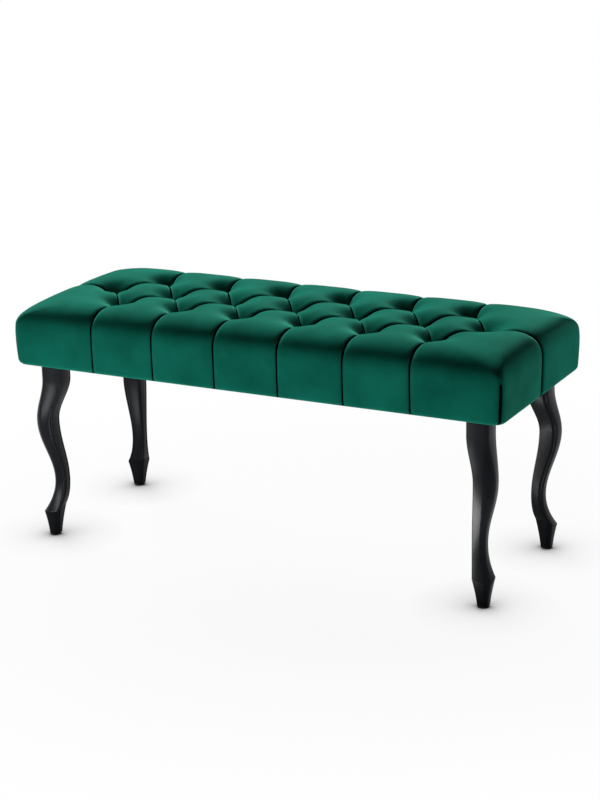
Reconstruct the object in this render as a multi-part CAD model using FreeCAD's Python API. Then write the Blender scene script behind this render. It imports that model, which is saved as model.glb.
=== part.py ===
"""Upholstered bench with a diamond-tufted seat on four cabriole legs.

Millimetres, +Z up, +X along the bench, front towards -Y, origin on the floor under the seat's centre.
Every piece is a separate solid, written to parts/ under the name a furniture maker would use for it.
"""
import FreeCAD
import Part
import math
import os

Vector = FreeCAD.Vector
UP = Vector(0, 0, 1)

# Overall sizes
SEAT_LENGTH = 1000.0        # at the seat's widest level
SEAT_DEPTH = 400.0
SEAT_THICKNESS = 124.2      # rim to the top of the pillows
LEG_HEIGHT = 350.0          # floor to the underside of the seat, glide included

# Outer form of the seat
DRAW_IN = 6.5               # how far the sides pull in at the bottom rim
EDGE_DROP = 12.0             # how much lower the rolled edge is than the pillows
EDGE_RADIUS = 34.0          # roll of the top edge
CROWN_RUN = 84.0            # from the outline to where the crown is level
CORNER_RADIUS = 22.0        # upright corners, in plan
CORNER_SWELL = 1.0          # growth of that radius as the roll turns in

# Tufting
TUFT_MARGIN = 110.0         # from the seat's outline to the outermost tufts
MIDDLE_TUFTS = 7            # the front and back rows have one fewer
TUFT_DEPTH = 28.0
TUFT_FLOOR = 6.0            # radius of the flat bottom of a pit
NECK_RADIUS = 13.0          # where the pit's steep neck opens out
NECK_DEPTH = 15.0
SHOULDER_RADIUS = 26.0      # where the pillow's shoulder begins to turn down
SHOULDER_DEPTH = 5.5
PIT_RADIUS = 47.0           # where the shoulder leaves the crown
FOLD_WIDTH = 3.0
FOLD_DEPTH = 8.0            # of a fold half way between two tufts
FOLD_RISE = 1.0             # a fold meets a pit this far above the pit's floor
PLEAT_DEPTH = 4.0           # of the pleats that run over the edge and down the sides
CORNER_PLEAT_DEPTH = 3.0
CORNER_PLEAT_HEIGHT = 82.0
ROLL_STEPS = 5              # bands in the roll of the top edge
PIT_SIDES = 12

# Upholstery layers
COVER = 2.0                 # the cloth alone, as it turns in under the rails
PILLOW_WALL = 9.0           # the quilted cover at the rim
SIDE_WADDING = 6.0
TOP_WADDING = 8.0
LINING = 0.8
FLANGE = 30.0               # cover turned in under the rails
LINING_INSET = 12.0         # from the rim to the lining's edge
EASE = 0.3                  # between soft layers
INNER_RADIUS = 12.0         # upright corners of the layers inside

# Timber frame
RAIL_HEIGHT = 48.0
RAIL_THICKNESS = 18.0
DECK = 9.0
BRACE_WIDTH = 36.0
BRACE_HEIGHT = 40.0
BRACE_PLACE = 1.25          # from the centre, in tuft pitches, clear of the tuft washers
BLOCK_SIDE = 58.0
BLOCK_HEIGHT = 40.0

# Cabriole leg, its square section measured across the flats
BOLT_FROM_END_RAIL = 20.0   # leg axis from the rail's inner face
BOLT_FROM_LONG_RAIL = 12.0
TOP_SIDE = 40.4
KNEE_SIDE = 35.5
ANKLE_SIDE = 23.0
TOE_SIDE = 33.0
SOLE_SIDE = 24.3            # half way down the foot
TIP_SIDE = 18.5
BLOCK_LEVEL = 318.0         # the straight block above it carries the seat
KNEE_LEVEL = 235.0
ANKLE_LEVEL = 112.0
TOE_LEVEL = 47.0
KNEE_OUT = 16.0             # offsets of the section from the leg's axis, along X and along Y alike
ANKLE_IN = 1.0
TOE_OUT = 11.4
TIP_OUT = 12.0
TOP_NOSE = 0.16             # roll of the outer edge, as shares of the side
KNEE_NOSE = 0.50
ANKLE_NOSE = 0.36
TOE_NOSE = 0.30
LEG_STEPS = 5               # bands in each stretch of the leg

# Hardware
GLIDE_RADIUS = 8.0
GLIDE_THICKNESS = 3.0
GLIDE_PIN_RADIUS = 2.0
GLIDE_PIN = 12.0
BOLT_RADIUS = 4.0
BOLT_IN_LEG = 45.0
NUT_BARREL_RADIUS = 5.2
NUT_BARREL = 11.0
NUT_FLANGE_RADIUS = 10.5
NUT_FLANGE = 1.4
SCREW_RADIUS = 2.0
SCREW_HEAD_RADIUS = 4.0
SCREW_HEAD = 2.4
FRAME_SCREW = 38.0
DECK_SCREW = 28.0
FIT = 0.1                   # around bolts, screws and staples
STAPLE_PITCH = 150.0
STAPLE_CROWN = 10.0
STAPLE_LEG = 12.0
STAPLE_WIRE = 0.8
TWINE_RADIUS = 1.0
TWINE_EASE = 0.3
STITCH = 8.0                # length of the stitch that holds the cloth down in a pit
WASHER_RADIUS = 10.0
WASHER = 1.6
KNOT_RADIUS = 3.0
KNOT = 3.5
DECK_HOLE_RADIUS = 4.0
TWINE_SIDES = 4             # flats on small round pieces and their holes
SCREW_SIDES = 6
WASHER_SIDES = 8
FITTING_SIDES = 12

# Levels worked out from the sizes above
RIM = LEG_HEIGHT + LINING
TOP = RIM + SEAT_THICKNESS
FRAME_BOTTOM = RIM + COVER
RAIL_TOP = FRAME_BOTTOM + RAIL_HEIGHT
DECK_TOP = RAIL_TOP + DECK
TUFT_BOTTOM = TOP - TUFT_DEPTH
CAVITY_TOP = TUFT_BOTTOM - COVER
WADDING_TOP = CAVITY_TOP - EASE
WADDING_UNDER = WADDING_TOP - TOP_WADDING
FOAM_TOP = WADDING_UNDER - EASE
ROLL_LEVEL = TOP - EDGE_DROP - EDGE_RADIUS

# Half sizes in plan
HALF_LENGTH = SEAT_LENGTH / 2
HALF_DEPTH = SEAT_DEPTH / 2
RIM_X = HALF_LENGTH - DRAW_IN
RIM_Y = HALF_DEPTH - DRAW_IN
FRAME_SET_IN = PILLOW_WALL + SIDE_WADDING + 2 * EASE
FRAME_X = RIM_X - FRAME_SET_IN
FRAME_Y = RIM_Y - FRAME_SET_IN
RAIL_X = FRAME_X - RAIL_THICKNESS
RAIL_Y = FRAME_Y - RAIL_THICKNESS
LEG_X = RAIL_X - BOLT_FROM_END_RAIL
LEG_Y = RAIL_Y - BOLT_FROM_LONG_RAIL
TUFT_PITCH = (SEAT_LENGTH - 2 * TUFT_MARGIN) / (MIDDLE_TUFTS - 1)
TUFT_ROW = HALF_DEPTH - TUFT_MARGIN
BRACE_X = BRACE_PLACE * TUFT_PITCH

CORNERS = {
    "front_left": (-1, -1),
    "front_right": (1, -1),
    "back_left": (-1, 1),
    "back_right": (1, 1),
}


def line(a, b):
    return Part.LineSegment(a, b).toShape()


def arc(a, middle, b):
    return Part.Arc(a, middle, b).toShape()


def box(low_x, low_y, low_z, high_x, high_y, high_z):
    return Part.makeBox(high_x - low_x, high_y - low_y, high_z - low_z, Vector(low_x, low_y, low_z))


def polygon(radius, sides, centre, direction):
    """Flat face of equal sides about the point centre, square to direction."""
    across = Vector(direction.y, direction.z, direction.x)
    along = direction.cross(across)
    turns = [2 * math.pi * (i + 0.5) / sides for i in range(sides)]
    points = [centre + (across * math.cos(turn) + along * math.sin(turn)) * radius for turn in turns]
    return Part.Face(Part.makePolygon(points + points[:1]))


def rod(radius, start, direction, length, sides):
    """Small round piece or hole, kept light as a prism of a few flats."""
    return polygon(radius, sides, start, direction).extrude(direction * length)


def stem(radius, x, y, low, high, sides):
    """Rod standing on the point x, y from level low to level high."""
    return rod(radius, Vector(x, y, low), UP, high - low, sides)


def stack(rings):
    """Solid of flat faces through level rings of points, all with the same count."""
    faces = [Part.Face(Part.makePolygon(ring + ring[:1])) for ring in (rings[0], rings[-1])]
    for lower, upper in zip(rings, rings[1:]):
        for i in range(len(lower)):
            quad = [lower[i - 1], lower[i], upper[i], upper[i - 1]]
            faces.append(Part.Face(Part.makePolygon(quad + quad[:1])))
    return Part.makeSolid(Part.makeShell(faces))


def group(solids):
    """Pieces that are made and bought alike, kept as one node of separate solids."""
    return Part.makeCompound(solids)


def corner_wire(corners, radii):
    """Closed outline through four points in order, each with a round corner, or a sharp one at radius 0."""
    rounds = []
    for i, (corner, radius) in enumerate(zip(corners, radii)):
        back = (corners[i - 1] - corner).normalize()
        ahead = (corners[(i + 1) % 4] - corner).normalize()
        middle = corner + (back + ahead) * (radius * (1 - math.sqrt(0.5)))
        rounds.append((corner + back * radius, middle, corner + ahead * radius))
    edges = []
    for i, (start, middle, end) in enumerate(rounds):
        if radii[i] > 0:
            edges.append(arc(start, middle, end))
        edges.append(line(end, rounds[(i + 1) % 4][0]))
    return Part.Wire(edges)


def rounded_rectangle(half_x, half_y, radius, level):
    """Level rectangle about the centre line, with four equal round corners."""
    turns = [(1, -1), (1, 1), (-1, 1), (-1, -1)]
    corners = [Vector(sx * half_x, sy * half_y, level) for sx, sy in turns]
    return corner_wire(corners, [radius] * 4)


def rounded_prism(half_x, half_y, radius, low, high):
    return Part.Face(rounded_rectangle(half_x, half_y, radius, low)).extrude(UP * (high - low))


def middle_row():
    """Plan positions of the tufts along the seat's centre line."""
    first = -(MIDDLE_TUFTS - 1) / 2
    return [Vector((first + i) * TUFT_PITCH, 0, 0) for i in range(MIDDLE_TUFTS)]


def outer_row(side):
    """Plan positions of the front (side -1) or back (side 1) row, half a pitch out of step."""
    first = -(MIDDLE_TUFTS - 2) / 2
    return [Vector((first + i) * TUFT_PITCH, side * TUFT_ROW, 0) for i in range(MIDDLE_TUFTS - 1)]


def all_tufts():
    return middle_row() + outer_row(-1) + outer_row(1)


def seat_ring(level, run):
    """The seat's outline at one level, run in from its widest."""
    half_x, half_y = HALF_LENGTH - run, HALF_DEPTH - run
    radius = min(CORNER_RADIUS + CORNER_SWELL * run, 0.92 * half_x, 0.92 * half_y)
    return rounded_rectangle(half_x, half_y, radius, level)


def seat_block():
    """Untufted seat: sides that draw in to the rim, a rolled top edge and a low crown."""
    rings = [seat_ring(RIM, DRAW_IN), seat_ring((RIM + ROLL_LEVEL) / 2, DRAW_IN / 4)]
    for step in range(ROLL_STEPS + 1):
        angle = math.radians(90) * step / ROLL_STEPS
        level = ROLL_LEVEL + EDGE_RADIUS * math.sin(angle)
        rings.append(seat_ring(level, EDGE_RADIUS * (1 - math.cos(angle))))
    rings.append(seat_ring(TOP, CROWN_RUN))
    return Part.makeLoft(rings, True, True)


def tuft_pit(tuft):
    """Pit that the tie pulls: flat floor, steep neck, then two slopes out to the pillows' shoulders."""
    steps = [
        (TUFT_FLOOR, TUFT_DEPTH),
        (NECK_RADIUS, NECK_DEPTH),
        (SHOULDER_RADIUS, SHOULDER_DEPTH),
        (PIT_RADIUS, -EASE),
    ]
    rings = []
    for radius, depth in steps:
        turns = [2 * math.pi * i / PIT_SIDES for i in range(PIT_SIDES)]
        level = tuft + UP * (TOP - depth)
        rings.append([level + Vector(math.cos(turn), math.sin(turn), 0) * radius for turn in turns])
    return stack(rings)


def slit(points, across):
    """Narrow cut with straight walls, from an upright face that lies on the fold's own line."""
    face = Part.Face(Part.makePolygon(points + points[:1]))
    face.translate(across * (-FOLD_WIDTH / 2))
    return face.extrude(across * FOLD_WIDTH)


def fold(start, end):
    """Fold between two tufts: its floor is deepest at the tufts and rises half way."""
    across = UP.cross(end - start).normalize()
    low, high, lid = UP * (TUFT_BOTTOM + FOLD_RISE), UP * (TOP - FOLD_DEPTH), UP * (TOP + EDGE_DROP)
    return slit([start + low, (start + end) / 2 + high, end + low, end + lid, start + lid], across)


def pleat(tuft, outward, to_side):
    """Pleat from a tuft over the rolled edge and down to the rim; to_side is the tuft's way to the side."""
    roll_centre = tuft + outward * (to_side - EDGE_RADIUS) + UP * ROLL_LEVEL
    reach = EDGE_RADIUS - PLEAT_DEPTH
    outside = tuft + outward * (to_side + DRAW_IN)
    lid = UP * (TOP + EDGE_DROP)
    points = [
        tuft + UP * (TUFT_BOTTOM + FOLD_RISE),
        roll_centre + UP * reach,
        roll_centre + (outward + UP).normalize() * reach,
        roll_centre + outward * reach,
        tuft + outward * (to_side - PLEAT_DEPTH - DRAW_IN) + UP * RIM,
        outside + UP * RIM,
        outside + lid,
        tuft + lid,
    ]
    return slit(points, UP.cross(outward))


def corner_pleat(sx, sy):
    """Short upright fold at a corner, where the cloth of two sides is tucked."""
    inward = CORNER_RADIUS * (1 - math.sqrt(0.5))
    corner = Vector(sx * (RIM_X - inward), sy * (RIM_Y - inward), RIM)
    outward = Vector(sx, sy, 0).normalize()
    start = corner - outward * CORNER_PLEAT_DEPTH
    end = corner + outward * CORNER_RADIUS
    rise = UP * CORNER_PLEAT_HEIGHT
    return slit([start, end, end + rise, start + rise], UP.cross(outward))


def fold_cutters():
    """Every fold, pleat and corner tuck of the cover."""
    middle = middle_row()
    cutters = [corner_pleat(sx, sy) for sx, sy in CORNERS.values()]
    for side in (-1, 1):
        for i, tuft in enumerate(outer_row(side)):
            cutters.append(fold(tuft, middle[i]))
            cutters.append(fold(tuft, middle[i + 1]))
            cutters.append(pleat(tuft, Vector(0, side, 0), HALF_DEPTH - TUFT_ROW))
    for end in (middle[0], middle[-1]):
        outward = Vector(end).normalize()
        cutters.append(pleat(end, outward, HALF_LENGTH - end.Length))
    return cutters


def twine_holes(radius, low, high):
    return [stem(radius, tuft.x, tuft.y, low, high, TWINE_SIDES) for tuft in all_tufts()]


def velvet_cover():
    """Quilted cover: pillows, pits, folds and pleats outside, a plain hollow inside, turned in below."""
    seat = seat_block().cut([tuft_pit(tuft) for tuft in all_tufts()]).cut(fold_cutters())
    wall = PILLOW_WALL
    hollow = rounded_prism(RIM_X - wall, RIM_Y - wall, INNER_RADIUS, FRAME_BOTTOM, CAVITY_TOP)
    mouth = rounded_prism(RIM_X - FLANGE, RIM_Y - FLANGE, INNER_RADIUS, RIM, FRAME_BOTTOM)
    holes = twine_holes(TWINE_RADIUS + TWINE_EASE, CAVITY_TOP, TUFT_BOTTOM)
    return seat.cut([hollow, mouth] + holes + staples(FIT))


def wadding_layer():
    """Fibre wrap over the foam and down the frame's sides."""
    wall = PILLOW_WALL + EASE
    wrap = rounded_prism(RIM_X - wall, RIM_Y - wall, INNER_RADIUS - EASE, FRAME_BOTTOM, WADDING_TOP)
    half_x, half_y = FRAME_X + EASE, FRAME_Y + EASE
    inside = box(-half_x, -half_y, FRAME_BOTTOM, half_x, half_y, WADDING_UNDER)
    return wrap.cut([inside] + twine_holes(TWINE_RADIUS + TWINE_EASE, WADDING_UNDER, WADDING_TOP))


def foam_core():
    slab = box(-FRAME_X, -FRAME_Y, DECK_TOP, FRAME_X, FRAME_Y, FOAM_TOP)
    return slab.cut(twine_holes(TWINE_RADIUS + TWINE_EASE, DECK_TOP, FOAM_TOP))


def deck_panel():
    panel = box(-FRAME_X, -FRAME_Y, RAIL_TOP, FRAME_X, FRAME_Y, DECK_TOP)
    return panel.cut(twine_holes(DECK_HOLE_RADIUS, RAIL_TOP, DECK_TOP) + deck_screws(FIT))


def screw(head, direction, length, fit):
    """Countersunk screw whose flat head lies at the point head; fit grows it into its hole."""
    sizes = [(0, SCREW_HEAD_RADIUS), (SCREW_HEAD, SCREW_RADIUS), (length + fit, SCREW_RADIUS)]
    rings = []
    for along, radius in sizes:
        outline = polygon(radius + fit, SCREW_SIDES, head + direction * along, direction)
        rings.append([vertex.Point for vertex in outline.OuterWire.OrderedVertexes])
    return stack(rings)


def frame_screws(fit):
    """Through the rails into the corner blocks and the ends of the braces."""
    screws = []
    levels = [RIM + share * BLOCK_HEIGHT for share in (0.35, 0.65)]
    for sx, sy in CORNERS.values():
        for place, level in zip((0.2, 0.45), levels):
            inward = BLOCK_SIDE * (1 - place)
            long_side = Vector(sx * (RAIL_X - inward), sy * FRAME_Y, level)
            end_side = Vector(sx * FRAME_X, sy * (RAIL_Y - inward), level)
            screws.append(screw(long_side, Vector(0, -sy, 0), FRAME_SCREW, fit))
            screws.append(screw(end_side, Vector(-sx, 0, 0), FRAME_SCREW, fit))
        for share in (0.3, 0.7):
            head = Vector(sx * BRACE_X, sy * FRAME_Y, RAIL_TOP - share * BRACE_HEIGHT)
            screws.append(screw(head, Vector(0, -sy, 0), FRAME_SCREW, fit))
    return screws


def deck_screws(fit):
    """Down through the deck into the middle of the rails."""
    screws = []
    rail_x, rail_y = FRAME_X - RAIL_THICKNESS / 2, FRAME_Y - RAIL_THICKNESS / 2
    for sx, sy in CORNERS.values():
        for share in (0.12, 0.6):
            screws.append(screw(Vector(sx * share * FRAME_X, sy * rail_y, DECK_TOP), -UP, DECK_SCREW, fit))
        screws.append(screw(Vector(sx * rail_x, sy * 0.3 * FRAME_Y, DECK_TOP), -UP, DECK_SCREW, fit))
    return screws


def staple(place, along, fit):
    """Wire staple driven upwards, its crown under the lining; fit leaves a hole for its legs."""
    wire = STAPLE_WIRE / 2 + fit
    across = UP.cross(along)
    half = STAPLE_CROWN / 2
    corner = along * wire + across * wire
    corner = Vector(abs(corner.x), abs(corner.y), 0)
    span = Vector(abs(along.x), abs(along.y), 0) * half
    crown_low = place - span - corner - UP * STAPLE_WIRE
    crown_high = place + span + corner
    pieces = [box(*crown_low, *crown_high)]
    for side in (-1, 1):
        leg = place + span * side
        pieces.append(box(*(leg - corner - UP * STAPLE_WIRE), *(leg + corner + UP * (STAPLE_LEG + fit))))
    return pieces[0].fuse(pieces[1:]).removeSplitter()


def staples(fit):
    """Evenly round the underside, through the lining and the turned-in cover into the rails."""
    made = []
    line_x, line_y = FRAME_X - RAIL_THICKNESS / 2, FRAME_Y - RAIL_THICKNESS / 2
    for half, line_at, turned in ((line_x, line_y, False), (line_y, line_x, True)):
        along = Vector(0, 1, 0) if turned else Vector(1, 0, 0)
        across = Vector(1, 0, 0) if turned else Vector(0, 1, 0)
        count = max(2, round(2 * half / STAPLE_PITCH))
        for i in range(count):
            run = half * ((2 * i + 1) / count - 1)
            for side in (-1, 1):
                place = along * run + across * (side * line_at) + UP * LEG_HEIGHT
                made.append(staple(place, along, fit))
    return made


def long_rail(side):
    low, high = sorted((side * RAIL_Y, side * FRAME_Y))
    rail = box(-FRAME_X, low, FRAME_BOTTOM, FRAME_X, high, RAIL_TOP)
    return rail.cut(frame_screws(FIT) + deck_screws(FIT) + staples(FIT))


def end_rail(side):
    low, high = sorted((side * RAIL_X, side * FRAME_X))
    rail = box(low, -RAIL_Y, FRAME_BOTTOM, high, RAIL_Y, RAIL_TOP)
    return rail.cut(frame_screws(FIT) + deck_screws(FIT) + staples(FIT))


def cross_brace(side):
    low, high = side * BRACE_X - BRACE_WIDTH / 2, side * BRACE_X + BRACE_WIDTH / 2
    brace = box(low, -RAIL_Y, RAIL_TOP - BRACE_HEIGHT, high, RAIL_Y, RAIL_TOP)
    return brace.cut(frame_screws(FIT))


def tee_nut(sx, sy, fit):
    """Flanged sleeve pressed into the top of a corner block; fit grows it into its seat."""
    x, y, top = sx * LEG_X, sy * LEG_Y, RIM + BLOCK_HEIGHT
    barrel = stem(NUT_BARREL_RADIUS + fit, x, y, top - NUT_BARREL - fit, top, FITTING_SIDES)
    flange = stem(NUT_FLANGE_RADIUS, x, y, top, top + NUT_FLANGE, FITTING_SIDES)
    return barrel.fuse(flange)


def corner_block(sx, sy):
    """Block in the corner of the frame that a leg is bolted to."""
    low_x, high_x = sorted((sx * RAIL_X, sx * (RAIL_X - BLOCK_SIDE)))
    low_y, high_y = sorted((sy * RAIL_Y, sy * (RAIL_Y - BLOCK_SIDE)))
    block = box(low_x, low_y, RIM, high_x, high_y, RIM + BLOCK_HEIGHT)
    bore = stem(BOLT_RADIUS + FIT, sx * LEG_X, sy * LEG_Y, RIM, RIM + BLOCK_HEIGHT, FITTING_SIDES)
    return block.cut([bore, tee_nut(sx, sy, FIT)] + frame_screws(FIT))


def tee_nuts():
    nuts = []
    for sx, sy in CORNERS.values():
        high = RIM + BLOCK_HEIGHT + NUT_FLANGE
        bore = stem(BOLT_RADIUS + FIT, sx * LEG_X, sy * LEG_Y, RIM, high, FITTING_SIDES)
        nuts.append(tee_nut(sx, sy, 0).cut(bore))
    return group(nuts)


def hanger_bolt(sx, sy, fit):
    low, high = LEG_HEIGHT - BOLT_IN_LEG, RIM + BLOCK_HEIGHT
    return stem(BOLT_RADIUS + fit, sx * LEG_X, sy * LEG_Y, low - fit, high, FITTING_SIDES)


def dust_cover():
    """Thin black lining under the seat."""
    sheet = rounded_prism(RIM_X - LINING_INSET, RIM_Y - LINING_INSET, INNER_RADIUS, LEG_HEIGHT, RIM)
    bolts = [hanger_bolt(sx, sy, FIT) for sx, sy in CORNERS.values()]
    return sheet.cut(bolts + staples(FIT))


def tuft_tie(tuft):
    """Waxed twine: a stitch on the cloth in the pit, a straight drop and a knot under the washer."""
    washer_under = RAIL_TOP - WASHER
    drop = stem(TWINE_RADIUS, tuft.x, tuft.y, washer_under - KNOT, TUFT_BOTTOM + TWINE_RADIUS, TWINE_SIDES)
    start = tuft + Vector(-STITCH / 2, 0, TUFT_BOTTOM + TWINE_RADIUS)
    stitch = rod(TWINE_RADIUS, start, Vector(1, 0, 0), STITCH, TWINE_SIDES)
    knot = stem(KNOT_RADIUS, tuft.x, tuft.y, washer_under - KNOT, washer_under, SCREW_SIDES)
    return drop.fuse([stitch, knot])


def tuft_washer(tuft):
    disc = stem(WASHER_RADIUS, tuft.x, tuft.y, RAIL_TOP - WASHER, RAIL_TOP, WASHER_SIDES)
    return disc.cut(stem(TWINE_RADIUS + FIT, tuft.x, tuft.y, RAIL_TOP - WASHER, RAIL_TOP, TWINE_SIDES))


def leg_section(offset, side, nose, level):
    """Square leg section; its outer corner is rounded and the other three are crisp."""
    half = side / 2
    turns = [(1, -1), (1, 1), (-1, 1), (-1, -1)]
    corners = [Vector(LEG_X + offset + sx * half, LEG_Y + offset + sy * half, level) for sx, sy in turns]
    return corner_wire(corners, [0, nose * side, 0, 0])


def sweep(share):
    """Ease out of one bend and into the next, half a cosine wave."""
    return (1 - math.cos(math.pi * share)) / 2


def flick(share):
    """Ease out of the ankle and run straight into the toe."""
    return share ** 2


def leg_curve():
    """Sections down the S of the leg: block to knee, knee to ankle, ankle to toe."""
    block = (0, TOP_SIDE, TOP_NOSE, BLOCK_LEVEL)
    knee = (KNEE_OUT, KNEE_SIDE, KNEE_NOSE, KNEE_LEVEL)
    ankle = (-ANKLE_IN, ANKLE_SIDE, ANKLE_NOSE, ANKLE_LEVEL)
    toe = (TOE_OUT, TOE_SIDE, TOE_NOSE, TOE_LEVEL)
    sections = [leg_section(*block)]
    for start, end, ease in ((block, knee, sweep), (knee, ankle, sweep), (ankle, toe, flick)):
        for step in range(1, LEG_STEPS + 1):
            share = step / LEG_STEPS
            offset, side, nose = [a + (b - a) * ease(share) for a, b in zip(start[:3], end[:3])]
            sections.append(leg_section(offset, side, nose, start[3] + (end[3] - start[3]) * share))
    return sections


def leg(sx, sy):
    """Cabriole leg with a block at the top, a pointed toe and a tapered foot, turned towards its corner."""
    half_way = (TOE_LEVEL + GLIDE_THICKNESS) / 2
    sections = [leg_section(0, TOP_SIDE, TOP_NOSE, LEG_HEIGHT)] + leg_curve()
    sections.append(leg_section((TOE_OUT + TIP_OUT) / 2, SOLE_SIDE, TOE_NOSE, half_way))
    sections.append(leg_section(TIP_OUT, TIP_SIDE, TOE_NOSE, GLIDE_THICKNESS))
    shape = Part.makeLoft(sections, True, True)
    tip_x, tip_y = LEG_X + TIP_OUT, LEG_Y + TIP_OUT
    pin_top = GLIDE_THICKNESS + GLIDE_PIN + FIT
    pin_hole = stem(GLIDE_PIN_RADIUS + FIT, tip_x, tip_y, GLIDE_THICKNESS, pin_top, SCREW_SIDES)
    shape = shape.cut([hanger_bolt(1, 1, FIT), pin_hole])
    if sx < 0:
        shape = shape.mirror(Vector(0, 0, 0), Vector(1, 0, 0))
    if sy < 0:
        shape = shape.mirror(Vector(0, 0, 0), Vector(0, 1, 0))
    return shape


def foot_glide(sx, sy):
    """Plastic glide with a pin, tapped into the end of a foot."""
    x, y = sx * (LEG_X + TIP_OUT), sy * (LEG_Y + TIP_OUT)
    disc = Part.makeCylinder(GLIDE_RADIUS, GLIDE_THICKNESS, Vector(x, y, 0))
    pin_top = GLIDE_THICKNESS + GLIDE_PIN
    return disc.fuse(stem(GLIDE_PIN_RADIUS, x, y, GLIDE_THICKNESS / 2, pin_top, SCREW_SIDES))


def bench():
    """Every node of the bench by name."""
    nodes = {
        "front_rail": long_rail(-1),
        "back_rail": long_rail(1),
        "left_rail": end_rail(-1),
        "right_rail": end_rail(1),
        "left_brace": cross_brace(-1),
        "right_brace": cross_brace(1),
        "deck_panel": deck_panel(),
        "foam_core": foam_core(),
        "wadding_layer": wadding_layer(),
        "velvet_cover": velvet_cover(),
        "dust_cover": dust_cover(),
        "tuft_ties": group([tuft_tie(tuft) for tuft in all_tufts()]),
        "tuft_washers": group([tuft_washer(tuft) for tuft in all_tufts()]),
        "tee_nuts": tee_nuts(),
        "hanger_bolts": group([hanger_bolt(sx, sy, 0) for sx, sy in CORNERS.values()]),
        "frame_screws": group(frame_screws(0)),
        "deck_screws": group(deck_screws(0)),
        "lining_staples": group(staples(0)),
        "foot_glides": group([foot_glide(sx, sy) for sx, sy in CORNERS.values()]),
    }
    for corner, (sx, sy) in CORNERS.items():
        nodes["corner_block_" + corner] = corner_block(sx, sy)
        nodes["leg_" + corner] = leg(sx, sy)
    return nodes


os.makedirs("parts", exist_ok=True)
for name, shape in bench().items():
    shape.exportStep("parts/" + name + ".step")
    print(name, len(shape.Solids), "solid(s)", round(shape.Volume / 1000), "cm3")
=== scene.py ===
# %% [markdown]
# # A tufted bench, dressed over its frame
#
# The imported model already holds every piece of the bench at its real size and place. This lesson
# loads it as a fixed frame, then makes the pieces whose looks need more than a solid: the velvet
# cover with its pillows and folds, the lacquered legs and the soft layers. Everything is in metres,
# with +Z up and the front towards -Y.

# %% Load the frame
import math

import bmesh
import bpy
import numpy as np
from mathutils import Matrix, Vector


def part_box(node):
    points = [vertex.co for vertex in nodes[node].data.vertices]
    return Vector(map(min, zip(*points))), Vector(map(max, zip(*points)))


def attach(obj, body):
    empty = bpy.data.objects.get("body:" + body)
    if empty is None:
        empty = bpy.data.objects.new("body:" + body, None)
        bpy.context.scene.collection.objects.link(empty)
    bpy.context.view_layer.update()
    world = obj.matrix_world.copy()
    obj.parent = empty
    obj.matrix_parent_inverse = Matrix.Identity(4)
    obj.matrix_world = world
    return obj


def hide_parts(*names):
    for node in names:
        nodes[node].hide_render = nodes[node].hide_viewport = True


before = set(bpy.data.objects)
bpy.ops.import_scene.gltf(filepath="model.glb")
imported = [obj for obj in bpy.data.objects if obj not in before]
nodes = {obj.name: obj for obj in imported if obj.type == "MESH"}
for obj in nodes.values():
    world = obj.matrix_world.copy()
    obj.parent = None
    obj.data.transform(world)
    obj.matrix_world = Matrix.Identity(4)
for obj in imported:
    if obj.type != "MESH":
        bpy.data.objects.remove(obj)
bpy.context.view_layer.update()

# %% [markdown]
# ## Sizes that the looks share
#
# The cover's outline comes from the frame itself, so the cloth lies where the solid is. The rest
# are sizes of the upholstery: how the side pulls in and turns under, how the top edge rolls, and
# where the tufts are.

# %% Sizes
MM = 0.001
cover_low, cover_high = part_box("velvet_cover")
HALF_LENGTH, HALF_DEPTH = cover_high[0], cover_high[1]
RIM, TOP = cover_low[2], cover_high[2]
SIDE_DRAW = 1.6 * MM
RIM_RADIUS = 8 * MM
ROLL_LEVEL = TOP - 60 * MM
CROWN_RUN = 120 * MM
CROWN_POWER = 3.2
FIRST_RUN = 50 * MM
CORNER_RADIUS = 13 * MM
FLANGE_RUN = 36.5 * MM
TUFT_MARGIN = 110 * MM
MIDDLE_TUFTS = 7
TUFT_PITCH = 2 * (HALF_LENGTH - TUFT_MARGIN) / (MIDDLE_TUFTS - 1)
TUFT_ROW = HALF_DEPTH - TUFT_MARGIN
FOLD_LENGTH = math.hypot(TUFT_PITCH / 2, TUFT_ROW)
PILLOW_HEIGHT = TUFT_PITCH * TUFT_ROW / FOLD_LENGTH
print("tuft pitch %.0f mm, rows %.0f mm apart" % (TUFT_PITCH / MM, TUFT_ROW / MM))

# %% [markdown]
# ## Surfaces from grids of points
#
# A surface is a table of points with rows and columns. Each four neighbours make a face. numpy
# works out the whole table at once, which is quick enough for half a million points and keeps the
# formula in plain sight.

# %% Mesh helpers
def grid_faces(rows, columns, wrap, first=0):
    """Corner numbers of each quad of a grid; wrap joins the last column to the first."""
    index = first + np.arange(rows * columns).reshape(rows, columns)
    if wrap:
        index = np.concatenate([index, index[:, :1]], axis=1)
    corners = [index[:-1, :-1], index[:-1, 1:], index[1:, 1:], index[1:, :-1]]
    return np.stack(corners, axis=-1).reshape(-1, 4)


def surface(name, grids, wrap=False, weld=0.0):
    """One smooth-shaded object from one or more grids.

    Points closer than weld become one, and faces turn outwards.
    """
    faces, first = [], 0
    for grid in grids:
        faces.append(grid_faces(grid.shape[0], grid.shape[1], wrap, first))
        first += grid.shape[0] * grid.shape[1]
    mesh = bpy.data.meshes.new(name)
    mesh.from_pydata(np.concatenate([grid.reshape(-1, 3) for grid in grids]), [], np.concatenate(faces))
    if weld > 0:
        work = bmesh.new()
        work.from_mesh(mesh)
        bmesh.ops.remove_doubles(work, verts=work.verts, dist=weld)
        bmesh.ops.recalc_face_normals(work, faces=work.faces)
        work.to_mesh(mesh)
        work.free()
    mesh.shade_smooth()
    piece = bpy.data.objects.new(name, mesh)
    bpy.context.scene.collection.objects.link(piece)
    return piece


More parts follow.
